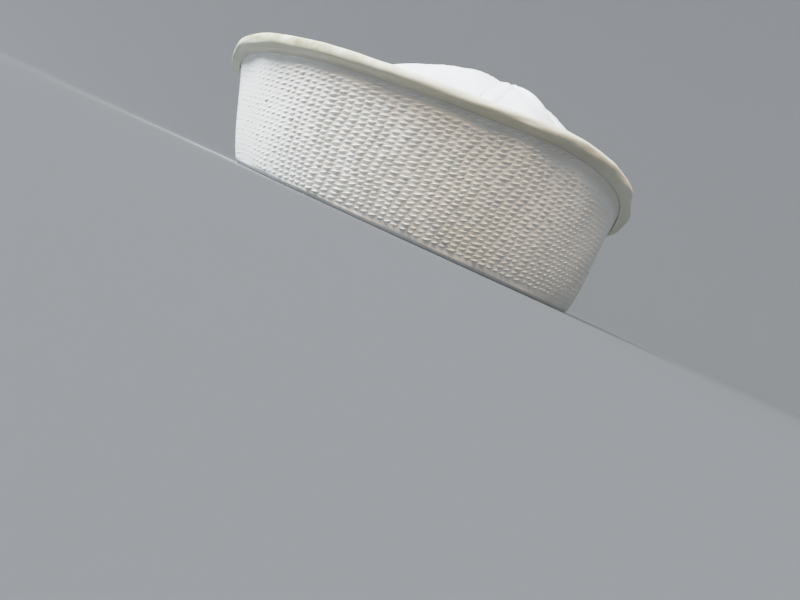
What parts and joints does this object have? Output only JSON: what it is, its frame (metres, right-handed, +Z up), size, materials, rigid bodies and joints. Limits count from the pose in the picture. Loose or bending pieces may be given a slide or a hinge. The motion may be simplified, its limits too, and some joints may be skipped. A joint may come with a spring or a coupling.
{
  "type": "sailor cap",
  "caption": "Round white cloth cap with a low gored dome and a deep turned-up brim that is stitched in rows and ends in a soft rolled edge.",
  "frame": {"origin": "on the floor, under the middle of the whole cap's box", "axes": "-X towards the brow, -Y towards the wearer's left, +Z up out of the crown"},
  "size_m": [0.2386, 0.2144, 0.1013],
  "materials": {
    "stitched_twill": "bleached cotton twill, quilted with close rows of white thread",
    "facing_twill": "bleached cotton twill, stitched through in rows",
    "rolled_twill": "bleached cotton twill, plain, a little yellowed by handling",
    "crown_twill": "bleached cotton twill, matt, with felled seams"
  },
  "bodies": {
    "root": {"brim_outer_ply": "stitched_twill", "brim_inner_ply": "facing_twill", "brim_rolled_edge": "rolled_twill", "crown_gore_1": "crown_twill", "crown_gore_2": "crown_twill", "crown_gore_3": "crown_twill", "crown_gore_4": "crown_twill", "crown_gore_5": "crown_twill", "crown_gore_6": "crown_twill"}
  },
  "joints": []
}
